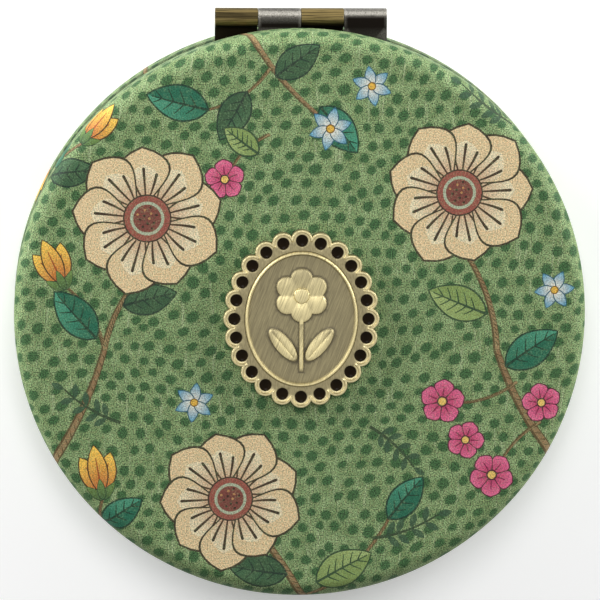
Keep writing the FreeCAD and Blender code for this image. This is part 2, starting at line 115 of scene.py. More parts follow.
# Mirror tapes: discs of double-sided tape behind the mirrors.
# White closed-cell foam with acrylic glue on both sides, so it is soft-looking and finely pitted.
foam_tape = grained("white foam tape", (0.3, 0.3, 0.3), "C9C8C2", "E6E5E0", relief=(0.5, 0.05),
                    pattern="TexVoronoi", surface={"Roughness": 0.85})
dress(foam_tape, "foam_tape", "base_mirror_tape", "lid_mirror_tape")

# Mirrors: a flat one in the lid and a slightly hollow, magnifying one in the base.
# Silvered float glass with a ground edge. It reflects almost all light, with faint wiping smears.
silvered_glass = grained("silvered float glass", (9, 9, 9), "E3E8E6", "EEF1F0", (0.01, 0.05),
                         settings={"Detail": 3.0, "Distortion": 1.5}, surface={"Metallic": 1.0})
dress(silvered_glass, "mirror_glass", "base_mirror", "lid_mirror")


# Bezels: the rings round the mirrors, over the turned-in edge of the covers, pressed into the cores.
# Stamped sheet brass, aged dark in a bath and rubbed back, so brown stays between brighter rubbed streaks.
def aged_brass(name, sunk, raised, streak, rough, patchy, even=None, lean=0.0):
    """Brass aged brown and rubbed back. Streak is a rub mark's size in mm along each axis, patchy how much
    the marks show, even how far a piece without wear of its own is rubbed, and lean the marks' turn."""
    material, tree = new_finish(name)
    place = add(tree, "TexCoord").outputs["Object"]
    along = add(tree, "Mapping", {"vector_type": "TEXTURE", "Scale": [size * MM for size in streak],
                                  "Rotation": (0, 0, math.radians(lean))}, {"Vector": place})
    brushed = add(tree, "TexNoise", {"Scale": 1.0, "Detail": 4.0, "Roughness": 0.65}, {"Vector": along})
    swing = add(tree, "MapRange", {1: 0.3, 2: 0.7, 3: -patchy, 4: patchy}, {0: brushed})
    bright = add(tree, "Math", {"operation": "MULTIPLY_ADD", "use_clamp": True, 1: even or 0, 2: even or 0},
                 {0: swing})
    if even is None:
        # The rubbed mark holds wear together with painted highlight and painted shade
        rubbed = add(tree, "Attribute", {"attribute_name": "rubbed"})
        for share in (1, 2):
            tree.links.new(rubbed.outputs["Fac"], bright.inputs[share])
    shade = add(tree, "Mix", {"data_type": "RGBA", 6: linear(sunk), 7: linear(raised)}, {0: bright})
    gloss = add(tree, "MapRange", {3: rough + 0.14, 4: rough}, {0: bright})
    relief = add(tree, "Bump", {"Strength": 0.3, "Distance": 0.02 * MM}, {"Height": brushed})
    metal = add(tree, "BsdfPrincipled", {"Metallic": 1.0},
                {"Base Color": shade.outputs[2], "Roughness": gloss, "Normal": relief})
    add(tree, "OutputMaterial", links={"Surface": metal})
    return material


stamped_brass = aged_brass("stamped brass, aged and rubbed", "665B3D", "A6996D", (0.5, 0.5, 0.5), 0.4, 0.6,
                           even=0.5)
dress(stamped_brass, "antique_brass", "base_bezel", "lid_bezel")

# Pads: discs of foam under the covers, full in the middle and rounded over the edge of the core.
# Die-cut grey polyether foam, glued down; in the lid the badge's two posts go through it.
PARTING = 6.0
FACE = 6.0
CASE_RADIUS = 35.0
FACE_EDGE = 2.0
SHOULDER = CASE_RADIUS - FACE_EDGE
FLAT = SHOULDER - 1
LID_CROWN = 0.4
COVER_BUILD = 0.65
CORE_FACE = 4.0
PAD_EDGE = FACE_EDGE - COVER_BUILD
PAD_BENDS = (0, 18, 36, 52, 66, 82)
PAD_ROUND = 160
PAD_STEP = 4
POST_HOLES = ((0.0, 5.0), (0.0, -5.0))
POST_HOLE_RADIUS = 0.75
CREASE = math.radians(38)


def ring(x, y, radius, count):
    """Points round a circle."""
    turns = [2 * math.pi * step / count for step in range(count)]
    return [(x + radius * math.cos(turn), y + radius * math.sin(turn)) for turn in turns]


def spread(radius_x, radius_y, step):
    """Points in rows of triangles over an oval."""
    points = []
    row_step = step * math.sqrt(3) / 2
    rows = int(radius_y / row_step) + 1
    columns = int(radius_x / step) + 1
    for row in range(-rows, rows + 1):
        for column in range(-columns, columns + 1):
            x, y = (column + 0.5 * (row % 2)) * step, row * row_step
            if (x / radius_x) ** 2 + (y / radius_y) ** 2 < 1:
                points.append((x, y))
    return points


def placed(x, y, level, half):
    """A point of a half, in mm from the parting plane, in the frame: the base is the lid turned over."""
    side = 1 if half == "lid" else -1
    return Vector((x * side, y, PARTING + level * side)) * MM


def meshed(lines, areas, points, keeps):
    """Triangles along closed lines and round areas that lie one over another: the corners, the triangles
    and the topmost area of each, or -1 outside them all. Keeps says which topmost areas stay."""
    plan, edges, faces = [], [], []
    for line in lines:
        edges += [(len(plan) + at, len(plan) + (at + 1) % len(line)) for at in range(len(line))]
        plan += line
    for area in areas:
        faces.append(list(range(len(plan), len(plan) + len(area))))
        plan += area
    spots, _, triangles, _, _, owners = delaunay_2d_cdt(
        [Vector(point) for point in [*plan, *points]], edges, faces, 0, 1e-5)
    tops = [max(owner, default=-1) for owner in owners]
    kept = [(face, top) for face, top in zip(triangles, tops) if keeps(top)]
    used = sorted({at for face, _ in kept for at in face})
    now_at = {at: number for number, at in enumerate(used)}
    return ([tuple(spots[at]) for at in used], [[now_at[at] for at in face] for face, _ in kept],
            [top for _, top in kept])


def slab(name, half, outline, top, bottom, rings=(), holes=(), points=()):
    """Closed piece of a half over an outline, with a shaped top over a flat bottom."""
    spots, tops, _ = meshed(rings, [outline, *holes], points, lambda area: area == 0)
    count = len(spots)
    corners = [placed(x, y, top(x, y), half) for x, y in spots]
    corners += [placed(x, y, bottom, half) for x, y in spots]
    sides = {(face[at], face[(at + 1) % 3]) for face in tops for at in range(3)}
    walls = [[b, a, a + count, b + count] for a, b in sides if (b, a) not in sides]
    unders = [[corner + count for corner in reversed(face)] for face in tops]
    mesh = bpy.data.meshes.new(name)
    mesh.from_pydata(corners, [], tops + unders + walls)
    return mesh


def piece(name, mesh, material, body, slot, *nodes):
    """A finished piece that rides on a body and stands for CAD nodes."""
    mesh.materials.append(material)
    if not mesh.has_custom_normals:
        mesh.shade_smooth()
        mesh.set_sharp_from_angle(angle=CREASE)
    made = bpy.data.objects.new(name, mesh)
    bpy.context.scene.collection.objects.link(made)
    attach(made, body)
    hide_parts(*nodes)
    return made


def pad_level(x, y, crown):
    """Height of a pad's top: full over the flat, and rounded down to the core past it."""
    radius = math.hypot(x, y)
    if radius <= SHOULDER:
        return FACE - COVER_BUILD + crown * (1 - (radius / SHOULDER) ** 2)
    return CORE_FACE + math.sqrt(max(PAD_EDGE ** 2 - (radius - SHOULDER) ** 2, 0))


# Grey polyether foam: matt, with open cells of about half a millimetre
grey_foam = grained("grey polyether foam", (0.5, 0.5, 0.5), "4B4C4D", "77787A", relief=(0.6, 0.15),
                    pattern="TexVoronoi", surface={"Roughness": 0.9})

for half, crown in (("base", 0.0), ("lid", LID_CROWN)):
    name = half + "_pad_foam"
    radii = [SHOULDER + PAD_EDGE * math.sin(math.radians(bend)) for bend in PAD_BENDS]
    rounds = [ring(0, 0, radius, PAD_ROUND) for radius in radii]
    holes = [ring(*hole, POST_HOLE_RADIUS, 20) for hole in POST_HOLES] if half == "lid" else ()
    mesh = slab(name, half, rounds[-1], lambda x, y: pad_level(x, y, crown), CORE_FACE,
                rings=rounds[:-1], holes=holes, points=spread(FLAT, FLAT, PAD_STEP))
    pad = piece(name, mesh, grey_foam, half, "pad_foam", half + "_pad")

# Covers: a round cut of printed PU leather on each half, drawn over the pad, wall and rim and glued inside.
# Polyurethane coat on a knitted backing, printed with a generic spotted garden pattern before it is cut.
# The turned-in edge ends under the bezel, and two slots in the rim let the straps of the hinge leaf out.
LEATHER = 0.6
RIM_EDGE = 1.5
GAP = 0.1
TURN_IN = 4.6
WALL_FROM = SHOULDER + FACE_EDGE * math.pi / 2
WALL_TO = WALL_FROM + FACE - FACE_EDGE - RIM_EDGE - GAP
RIM_TO = WALL_TO + RIM_EDGE * math.pi / 2
CUT_RADIUS = RIM_TO + TURN_IN - RIM_EDGE
ROUND = 240
PRINT_STEP = 2.2
BACK_STEP = 5
KNUCKLE = 5.25
STRAPS = (-0.5 * KNUCKLE, 1.5 * KNUCKLE)
SLOT_HALF = 2.6
PRINT_SLOT = (13.5, 36.9)
BACK_SLOT = (22.9, 88)


def wrapped(x, y, crown, depth, half):
    """Where a point of the flat cut lies on the covered half, depth below the surface, and its normal."""
    run = math.hypot(x, y)
    if run <= SHOULDER:
        radius, level = run, FACE + crown * (1 - (run / SHOULDER) ** 2)
        out, up = 2 * crown * run / SHOULDER ** 2, 1.0
    elif run <= WALL_FROM:
        turn = (run - SHOULDER) / FACE_EDGE
        out, up = math.sin(turn), math.cos(turn)
        radius, level = SHOULDER + FACE_EDGE * out, FACE - FACE_EDGE + FACE_EDGE * up
    elif run <= WALL_TO:
        out, up = 1.0, 0.0
        radius, level = CASE_RADIUS, FACE - FACE_EDGE - (run - WALL_FROM)
    elif run <= RIM_TO:
        turn = (run - WALL_TO) / RIM_EDGE
        out, up = math.cos(turn), -math.sin(turn)
        radius, level = CASE_RADIUS - RIM_EDGE + RIM_EDGE * out, GAP + RIM_EDGE + RIM_EDGE * up
    else:
        out, up = 0.0, -1.0
        radius, level = CASE_RADIUS - RIM_EDGE - (run - RIM_TO), GAP
    size = math.hypot(out, up)
    out, up = out / size, up / size
    east, north = (x / run, y / run) if run > 1e-9 else (0.0, 1.0)
    side = 1 if half == "lid" else -1
    radius, level = radius - depth * out, level - depth * up
    normal = Vector((out * east * side, out * north, up * side))
    return placed(radius * east, radius * north, level, half), normal


def slot_outline(middle, from_turn, to_turn):
    """A strap's slot in the rim, on the flat cut: turns are degrees round the rim's rounded edge."""
    def corner(across, turn):
        turn = math.radians(turn)
        run = WALL_TO + RIM_EDGE * turn
        return across * run / (CASE_RADIUS - RIM_EDGE + RIM_EDGE * math.cos(turn)), run

    acrosses = [middle + SLOT_HALF * (1 - step / 4) for step in range(9)]
    turned = [corner(across, from_turn) for across in acrosses]
    turned += [corner(across, to_turn) for across in reversed(acrosses)]
    return [(x, math.sqrt(run ** 2 - x ** 2)) for x, run in reversed(turned)]


def cover_mesh(name, half, crown, inks):
    """The closed cover: printed skin, back skin and the cut edges between them."""
    bends = [SHOULDER + FACE_EDGE * math.radians(turn) for turn in range(0, 91, 10)]
    bends += [(WALL_FROM + WALL_TO) / 2, WALL_TO]
    bends += [WALL_TO + RIM_EDGE * math.radians(turn) for turn in range(10, 91, 10)]
    bends += [(RIM_TO + CUT_RADIUS) / 2, CUT_RADIUS]
    rounds = [ring(0, 0, bend, ROUND) for bend in bends]
    shapes = [ink[0] for ink in inks]
    flats, front, owners = meshed(rounds, shapes + [slot_outline(middle, *PRINT_SLOT) for middle in STRAPS],
                                  spread(FLAT, FLAT, PRINT_STEP), lambda area: area < len(shapes))
    backs, back, _ = meshed(rounds, [slot_outline(middle, *BACK_SLOT) for middle in STRAPS],
                            spread(FLAT, FLAT, BACK_STEP), lambda area: area < 0)
    shift = len(flats)
    laid = [wrapped(x, y, crown, 0.0, half) for x, y in flats]
    laid += [wrapped(x, y, crown, LEATHER, half) for x, y in backs]
    flats = flats + backs
    normals = [normal * (1 if at < shift else -1) for at, (_, normal) in enumerate(laid)]
    skins = front + [[at + shift for at in reversed(face)] for face in back]
    mesh = bpy.data.meshes.new(name)
    mesh.from_pydata([spot for spot, _ in laid], [], skins)
    work = bmesh.new()
    work.from_mesh(mesh)
    rims = []
    waiting = {edge for edge in work.edges if edge.is_boundary}
    while waiting:
        rim = [waiting.pop()]
        for edge in rim:
            near = {other for vert in edge.verts for other in vert.link_edges} & waiting
            waiting -= near
            rim += near
        rims.append(rim)
    rims.sort(key=lambda rim: sum(edge.verts[0].co.x for edge in rim) / len(rim))
    for at in range(0, len(rims), 2):
        bmesh.ops.bridge_loops(work, edges=rims[at] + rims[at + 1])
    work.to_mesh(mesh)
    work.free()
    mesh.shade_smooth()
    colours = mesh.color_attributes.new("ink", "FLOAT_COLOR", "CORNER")
    cut = mesh.uv_layers.new(name="flat_cut", do_init=False)
    split = []
    for index, polygon in enumerate(mesh.polygons):
        owner = owners[index] if index < len(owners) else -1
        for at in polygon.loop_indices:
            vertex = mesh.loops[at].vertex_index
            cut.uv[at].vector = flats[vertex]
            split.append(normals[vertex] if index < len(skins) else Vector((0, 0, 0)))
            colours.data[at].color = (0, 0, 0, 0)
            if owner >= 0:
                _, near, far, root, reach = inks[owner]
                share = min(math.dist(flats[vertex], root) / reach, 1)
                colours.data[at].color = [a + (b - a) * share for a, b in zip(near, far)]
    mesh.normals_split_custom_set(split)
    return mesh


# The print's shapes, each an outline on the flat cut with a colour at its root and one at its far end
inks = []


def inked(outline, near, far=None, root=None, reach=1.0):
    """Print a shape over those before it; its colour changes from near to far over a reach from its root."""
    turning = sum(a[0] * b[1] - b[0] * a[1] for a, b in zip(outline, outline[1:] + outline[:1]))
    inks.append((outline if turning > 0 else outline[::-1], linear(near), linear(far or near),
                 root or outline[0], reach))


def aside(x, y, turn, along, across=0.0):
    """The point so far along and to the left of a direction."""
    east, north = math.cos(turn), math.sin(turn)
    return x + along * east - across * north, y + along * north + across * east


def bent(start, end, bow, steps=14):
    """A hand-drawn line from start to end that bows to one side by a share of its length."""
    (x0, y0), (x1, y1) = start, end
    xm, ym = (x0 + x1) / 2 - (y1 - y0) * bow, (y0 + y1) / 2 + (x1 - x0) * bow
    shares = [step / steps for step in range(steps + 1)]
    return [((1 - t) ** 2 * x0 + 2 * t * (1 - t) * xm + t * t * x1,
             (1 - t) ** 2 * y0 + 2 * t * (1 - t) * ym + t * t * y1) for t in shares]


def stroked(path, from_width, to_width, near, far=None):
    """A brush stroke along a path, which widens or narrows evenly."""
    left, right = [], []
    for at, (x, y) in enumerate(path):
        before, after = path[max(at - 1, 0)], path[min(at + 1, len(path) - 1)]
        turn = math.atan2(after[1] - before[1], after[0] - before[0])
        half_width = (from_width + (to_width - from_width) * at / (len(path) - 1)) / 2
        left.append(aside(x, y, turn, 0, half_width))
        right.append(aside(x, y, turn, 0, -half_width))
    inked(left + right[::-1], near, far, path[0], math.dist(path[0], path[-1]))


def almond(x, y, turn, length, width, belly, sides=(1, -1), steps=12):
    """Outline of a petal or leaf, widest at the share belly of its length; one side gives half of it."""
    power = math.log(0.5) / math.log(belly)
    shares = [step / steps for step in range(steps + 1)]
    rims = {side: [aside(x, y, turn, length * t, side * width / 2 * math.sin(math.pi * t ** power) ** 0.8)
                   for t in shares] for side in sides}
    if len(sides) == 1:
        return rims[sides[0]] + [aside(x, y, turn, length * t) for t in shares[-2:0:-1]]
    return rims[sides[0]] + rims[sides[1]][-2:0:-1]


def edged_almond(x, y, turn, length, width, belly, edge, line, near, far):
    """A petal or leaf with a dark drawn edge."""
    inked(almond(*aside(x, y, turn, -edge), turn, length + 2 * edge, width + 2 * edge, belly), line)
    inked(almond(x, y, turn, length, width, belly), near, far, (x, y), length)


def spot(x, y, radius, near, far=None, count=14):
    """A round dot of ink."""
    inked(ring(x, y, radius, count), near, far, (x, y), radius)


def daisy(x, y, across, turn, petals=9):
    """Large open flower: cream petals with bold brown veins round a ringed and seeded rust centre."""
    reach = across / 2
    for petal in range(petals):
        lean = turn + petal * 2 * math.pi / petals
        length = reach * (0.8 + 0.05 * math.sin(petal * 2.4))
        root = aside(x, y, lean, reach * 0.18)
        edged_almond(*root, lean, length, reach * 0.66, 0.62, 0.27, "3B3226", "CFBB94", "DFC89E")
        inked(almond(*root, lean, length * 0.72, reach * 0.42, 0.6), "BC9476", "E2D6B4", root, length * 0.6)
        for swing in (-0.3, 0.0, 0.3):
            foot = aside(*root, lean, length * 0.16, swing * reach * 0.2)
            tip = aside(*root, lean, length * (0.64 - abs(swing) * 0.4), swing * reach * 0.55)
            stroked(bent(foot, tip, swing * 0.15, 5), 0.2, 0.36, "4A3328", "3B2E24")
            spot(*tip, 0.18, "3B2E24", count=8)
    for radius, near, far in ((0.32, "3B2B25", None), (0.3, "8A4A42", "93544A"), (0.225, "A9B39A", None),
                              (0.185, "6B3A36", "7C453F")):
        spot(x, y, reach * radius, near, far, count=26)
    for seed in range(12):
        at = aside(x, y, seed * 2.39996, reach * 0.045 * math.sqrt(seed + 0.4))
        spot(*at, 0.16, "33241E" if seed % 3 else "B98A5A", count=7)


def blossom(x, y, across, turn):
    """Small round-petalled flower in two pinks."""
    for petal in range(5):
        lean = turn + petal * 2 * math.pi / 5
        edged_almond(x, y, lean, across * 0.5, across * 0.42, 0.68, 0.15, "4F2032", "AE2C5A", "DC6C95")
        stroked([aside(x, y, lean, across * 0.14), aside(x, y, lean, across * 0.34)], 0.2, 0.1, "7A2148")
    spot(x, y, across * 0.13, "4F2032")
    spot(x, y, across * 0.09, "E2C06A")


def star_flower(x, y, across, turn):
    """Small pointed white flower with blue tips."""
    for petal in range(6):
        lean = turn + petal * math.pi / 3
        edged_almond(x, y, lean, across * 0.5, across * 0.24, 0.45, 0.14, "2B5870", "EFE9D6", "4E98BA")
    spot(x, y, across * 0.11, "7A5A22")
    spot(x, y, across * 0.08, "DDB04A")


def leaf(x, y, turn, length, width, tint):
    """Leaf with a darker half, a midrib and side veins."""
    lit, dim, line, veins = tint
    edged_almond(x, y, turn, length, width, 0.45, 0.23, line, dim, lit)
    inked(almond(x, y, turn, length, width, 0.45, sides=(-1,)), dim)
    stroked(bent((x, y), aside(x, y, turn, length * 0.94), 0.02, 6), 0.34, 0.12, line)
    for vein in range(veins):
        share = 0.2 + 0.56 * vein / (veins - 1)
        reach = width * 0.36 * math.sin(math.pi * (share + 0.08))
        for side in (1, -1):
            tip = aside(x, y, turn, length * (share + 0.13), side * reach)
            stroked(bent(aside(x, y, turn, length * share), tip, 0.06 * side, 3), 0.2, 0.1, line)


def bud(x, y, turn, length):
    """Closed flower: yellow tips on a red foot between green sepals."""
    for swing, share in ((-0.36, 0.86), (0.36, 0.86), (0.0, 1.0)):
        lean = turn + swing
        edged_almond(x, y, lean, length * share, length * 0.36, 0.5, 0.17, "4A2F1E", "A8382C", "F7CF5C")
        fold = bent(aside(x, y, lean, length * 0.2), aside(x, y, lean, length * share * 0.75), 0, 4)
        stroked(fold, 0.26, 0.1, "9A4A26")
    for swing in (-0.75, 0.75, 0.0):
        edged_almond(*aside(x, y, turn, -length * 0.1), turn + swing, length * 0.42, length * 0.15, 0.4,
                     0.09, "26382A", "3D5A38", "6C8A4A")


def fern(x, y, turn, length, bow=0.12):
    """Dark green sprig with four pairs of small leaves and one at its tip."""
    path = bent((x, y), aside(x, y, turn, length), bow)
    stroked(path, 0.42, 0.2, "33432F")
    fronds = []
    for at in (3, 5, 8, 11):
        lean = math.atan2(path[at][1] - path[at - 1][1], path[at][0] - path[at - 1][0])
        fronds += [(*path[at], lean + side * 0.95, length * 0.24) for side in (1, -1)]
    fronds.append((*path[-1], turn + bow, length * 0.22))
    for frond in fronds:
        inked(almond(*frond, length * 0.1, 0.55, steps=7), "2C4432", "3B5640")


def stem(start, end, bow, from_width, to_width):
    """Brown twig, darker along one edge, with slanting marks of bark."""
    path = bent(start, end, bow, 22)
    stroked(path, from_width, to_width, "57472E")
    stroked([(x + 0.07, y + 0.05) for x, y in path], from_width * 0.62, to_width * 0.55, "96805C", "8A6E50")
    for before, at, after in zip(path, path[1:], path[2:]):
        lean = math.atan2(after[1] - before[1], after[0] - before[0])
        mark = [aside(*at, lean, 0, -0.3 * from_width), aside(*at, lean, 0.5, 0.1 * from_width)]
        stroked(mark, 0.16, 0.08, "57472E")


# Printed PU leather: matt skin with fine grain, ragged hand-set spots of about 1.2 mm on a mottled green,
# inks with a cloth-like speckle and pale hairline creases. Painted shade darkens the fold at the parting,
# and the turned-in edge is gathered in pleats. Speckle and grain are drawn at 0.16 mm, coarser than real, to
# show.
SPOTS_APART = 2.22
RAGGED = 0.7
DRIFT = 13
MOTTLE = 1.7
SPECKLE = 0.16
FLECK = 0.26
HAIR = (0.3, 6)
PLEATS = 66
printed_leather, tree = new_finish("printed PU leather")
flat = add(tree, "UVMap", {"uv_map": "flat_cut"})
run = add(tree, "VectorMath", {"operation": "LENGTH"}, {0: flat}).outputs["Value"]
IN_PLANE = {"noise_dimensions": "2D"}
ragged = add(tree, "TexNoise", {**IN_PLANE, "Scale": 1 / RAGGED, "Detail": 1.0}, {"Vector": flat})
drift = add(tree, "TexNoise", {**IN_PLANE, "Scale": 1 / DRIFT, "Detail": 0.0}, {"Vector": flat})
mottle = add(tree, "TexNoise", {**IN_PLANE, "Scale": 1 / MOTTLE, "Detail": 3.0}, {"Vector": flat})
speckle = add(tree, "TexNoise", {**IN_PLANE, "Scale": 1 / SPECKLE, "Detail": 2.0, "Roughness": 0.7},
              {"Vector": flat})
shaken = add(tree, "VectorMath", {"operation": "MULTIPLY_ADD", 1: (0.22, 0.22, 0.0)},
             {0: ragged.outputs["Color"], 2: flat})
shaken = add(tree, "VectorMath", {"operation": "MULTIPLY_ADD", 1: (2.2, 2.2, 0.0)},
             {0: drift.outputs["Color"], 2: shaken})

# The spots stand in rows of triangles, each a little out of place, oval and of a size of its own
spot_rows = {"Rotation": (0, 0, math.pi / 4),
             "Scale": (math.sqrt(2) / SPOTS_APART, math.sqrt(2 / 3) / SPOTS_APART, 1.0)}
in_rows = add(tree, "Mapping", spot_rows, {"Vector": shaken})
cells = add(tree, "TexVoronoi", {"voronoi_dimensions": "2D", "Scale": 1.0, "Randomness": 0.34},
            {"Vector": in_rows})
middle = add(tree, "Mapping", {"vector_type": "TEXTURE", **spot_rows}, {"Vector": cells.outputs["Position"]})
away = add(tree, "VectorMath", {"operation": "SUBTRACT"}, {0: shaken, 1: middle})
away = add(tree, "Mapping", {"vector_type": "TEXTURE", "Rotation": (0, 0, math.radians(35)),
                             "Scale": (1.08, 0.94, 1.0)}, {"Vector": away})
away = add(tree, "VectorMath", {"operation": "LENGTH"}, {0: away}).outputs["Value"]
sized = add(tree, "Math", {"operation": "MULTIPLY_ADD", 1: 0.22}, {0: cells.outputs["Color"], 2: away})
sized = add(tree, "Math", {"operation": "MULTIPLY_ADD", 1: 0.3}, {0: speckle, 2: sized})
spots = add(tree, "MapRange", {"interpolation_type": "SMOOTHSTEP", 1: 1.06, 2: 0.72}, {0: sized})
spots = add(tree, "Math", {"operation": "MULTIPLY", 1: 0.89}, {0: spots})

# The ground's green has warm flecks and pale creases under the spots
green_share = add(tree, "MapRange", {1: 0.3, 2: 0.72}, {0: mottle})
green = add(tree, "Mix", {"data_type": "RGBA", 6: linear("668053"), 7: linear("819A6B")}, {0: green_share})
fleck = add(tree, "TexNoise", {**IN_PLANE, "Scale": 1 / FLECK, "Detail": 2.0}, {"Vector": shaken})
flecked = add(tree, "MapRange", {1: 0.48, 2: 0.72, 4: 0.38}, {0: fleck})
warm = add(tree, "Mix", {"data_type": "RGBA", 7: linear("A19C70")}, {0: flecked, 6: green.outputs[2]})
hair = add(tree, "Mapping", {"vector_type": "TEXTURE", "Scale": (*HAIR, 1.0)}, {"Vector": shaken})
crease = add(tree, "TexNoise", {**IN_PLANE, "Scale": 1.0, "Detail": 2.0}, {"Vector": hair})
creased = add(tree, "MapRange", {1: 0.62, 2: 0.74, 4: 0.5}, {0: crease})
worn = add(tree, "Mix", {"data_type": "RGBA", 7: linear("A9B48E")}, {0: creased, 6: warm.outputs[2]})
ground = add(tree, "Mix", {"data_type": "RGBA", 7: linear("2F5531")}, {0: spots, 6: worn.outputs[2]})

# The inks lie on it unevenly, browned by the flecks
ink = add(tree, "Attribute", {"attribute_name": "ink"})
uneven = add(tree, "MapRange", {1: 0.32, 2: 0.5, 3: 0.7, 4: 0.97}, {0: fleck})
covered = add(tree, "Math", {"operation": "MULTIPLY"}, {0: ink.outputs["Alpha"], 1: uneven})
dusty = add(tree, "Mix", {"data_type": "RGBA", "blend_type": "MULTIPLY", 7: linear("E8C08C")},
            {0: flecked, 6: ink.outputs["Color"]})
printed = add(tree, "Mix", {"data_type": "RGBA"}, {0: covered, 6: ground.outputs[2], 7: dusty.outputs[2]})

# The speckle shows less through the inks, and painted shade darkens the fold at the parting
tone = add(tree, "MapRange", {1: 0.31, 2: 0.69, 3: 0.1, 4: 1.84}, {0: speckle})
from_fold = add(tree, "Math", {"operation": "SUBTRACT", 1: (WALL_TO + RIM_TO) / 2}, {0: run})
from_fold = add(tree, "Math", {"operation": "ABSOLUTE"}, {0: from_fold})
# Painted shade: the leather darkens towards the fold between lid and base, down to 0.4 of its colour
painted_fold_shade = add(tree, "MapRange", {1: 0.6, 2: 1.6, 3: 0.4, 4: 1.0}, {0: from_fold})
tone = add(tree, "Math", {"operation": "MULTIPLY"}, {0: tone, 1: painted_fold_shade})
through = add(tree, "MapRange", {3: 1.0, 4: 0.45}, {0: covered})
speckled = add(tree, "Mix", {"data_type": "RGBA", "blend_type": "MULTIPLY"},
               {0: through, 6: printed.outputs[2], 7: tone})

# Grain all over, and pleats that deepen from the wall to the turned-in edge
grain = add(tree, "Bump", {"Strength": 0.35, "Distance": 0.04 * MM}, {"Height": speckle})
corner = add(tree, "SeparateXYZ", links={"Vector": flat})
pleat = add(tree, "Math", {"operation": "ARCTAN2"}, {0: corner.outputs["Y"], 1: corner.outputs["X"]})
pleat = add(tree, "Math", {"operation": "MULTIPLY", 1: PLEATS}, {0: pleat})
pleat = add(tree, "Math", {"operation": "SINE"}, {0: pleat})
turned_in = add(tree, "MapRange", {1: WALL_TO, 2: CUT_RADIUS}, {0: run})
pleat = add(tree, "Math", {"operation": "MULTIPLY"}, {0: pleat, 1: turned_in})
gathered = add(tree, "Bump", {"Strength": 0.7, "Distance": 0.25 * MM}, {"Height": pleat, "Normal": grain})
dull = add(tree, "MapRange", {3: 0.55, 4: 0.7}, {0: mottle})
skin = add(tree, "BsdfPrincipled", {"IOR": 1.46, "Specular IOR Level": 0.22},
           {"Base Color": speckled.outputs[2], "Roughness": dull, "Normal": gathered})
add(tree, "OutputMaterial", links={"Surface": skin})


def cover(half, crown):
    """A half's cover with the print drawn since the last one, stretched over its pad and core."""
    name = half + "_leather_cover"
    mesh = cover_mesh(name, half, crown, inks)
    made = piece(name, mesh, printed_leather, half, "printed_leather", half + "_leather")
    inks.clear()


# A leaf's tint: its lit half, its dim half, its lines and the number of its side veins
TEAL = ("4A957A", "24634D", "1A3429", 4)
DEEP = ("47684A", "38553C", "22332A", 4)
SAGE = ("9DB173", "7F9658", "2F4630", 5)

# The lid's garden grows in from its edge, and each plant lies over those drawn before it
stem((-35, -24), (-24, -4), -0.12, 1.3, 0.8)
stem((-24, -4), (-19.5, 5), 0.15, 0.8, 0.6)
stem((-24, -4), (-29, 4), -0.2, 0.5, 0.35)
stem((36, -22), (24, -4), 0.14, 1.35, 0.85)
stem((24, -4), (20, 8), -0.14, 0.85, 0.6)
stem((26.5, -8), (18, -10.5), 0.2, 0.45, 0.35)
stem((29.5, -13), (24, -19.5), -0.18, 0.45, 0.35)
stem((3, -41), (-6.5, -25), -0.1, 1.2, 0.75)
stem((1, -35), (11, -25), -0.16, 0.55, 0.4)
stem((-9, 41), (3, 24), -0.16, 1.0, 0.5)
stem((-4, 30.5), (-11.5, 25.5), 0.2, 0.45, 0.35)
stem((-24.5, -33), (-24, -22), 0.14, 0.6, 0.4)
stem((-37, 13), (-26.5, 21.5), 0.12, 0.55, 0.4)
stem((-4, 22.5), (-9, 17.5), -0.2, 0.45, 0.35)
stem((24.5, 29.5), (31.5, 21), -0.12, 0.45, 0.4)
fern(-22, -13, 2.6, 8)
fern(9, -27.5, 0.35, 8.5, bow=-0.12)
fern(26, 24, 2.5, 8)
fern(8.5, -13.5, -0.75, 7.5)
leaf(-25, -2.5, 2.3, 7.5, 4, TEAL)
leaf(-21.6, 1.5, 0.25, 6.5, 3.4, DEEP)
leaf(-11.5, 25.5, 2.9, 7.5, 4.1, TEAL)
leaf(-6.8, 27.6, 4.2, 6.5, 3.5, DEEP)
leaf(2.2, 25.8, 5.4, 7, 3.8, TEAL)
leaf(-3.2, 29.6, 0.62, 6.3, 3.4, DEEP)
leaf(22.6, 0.5, 2.75, 7.5, 4, SAGE)
leaf(25.2, -6, 0.6, 7.5, 4, TEAL)
leaf(2.2, -33, 0.5, 7.5, 4.2, SAGE)
leaf(-1.6, -32, 3.0, 7, 3.8, DEEP)
leaf(11, -25, 0.9, 6.5, 3.4, TEAL)
leaf(-24.4, -26, 0.6, 6, 3.2, TEAL)
leaf(-31, 17.5, 0.1, 6, 3.2, DEEP)
leaf(-30.2, 18.6, 1.9, 5.6, 3, TEAL)
leaf(-5.4, 20.2, 2.5, 5, 2.8, SAGE)
bud(-29, 4, 2.0, 6)
bud(-24.2, -22, 1.75, 6.2)
bud(-26.5, 21.8, 0.9, 5.6)
blossom(-9.4, 17, 4.8, 0.4)
blossom(17.4, -10.4, 5.4, 0.2)
blossom(23.6, -19.6, 5.4, 0.9)
blossom(20.3, -15.2, 4.6, 1.2)
blossom(29.6, -10.6, 4.8, 0.5)
star_flower(3.4, 23.2, 5.2, 0.3)
star_flower(8.4, 28.4, 4.8, 0.7)
star_flower(31, 3.4, 4.8, 0.1)
star_flower(-13, -10.5, 4.8, 0.4)
daisy(-18.8, 12.2, 18.5, 0.25)
daisy(19.2, 15.4, 18, 0.05)
daisy(-8.5, -22.5, 17.5, 0.4)
cover("lid", LID_CROWN)

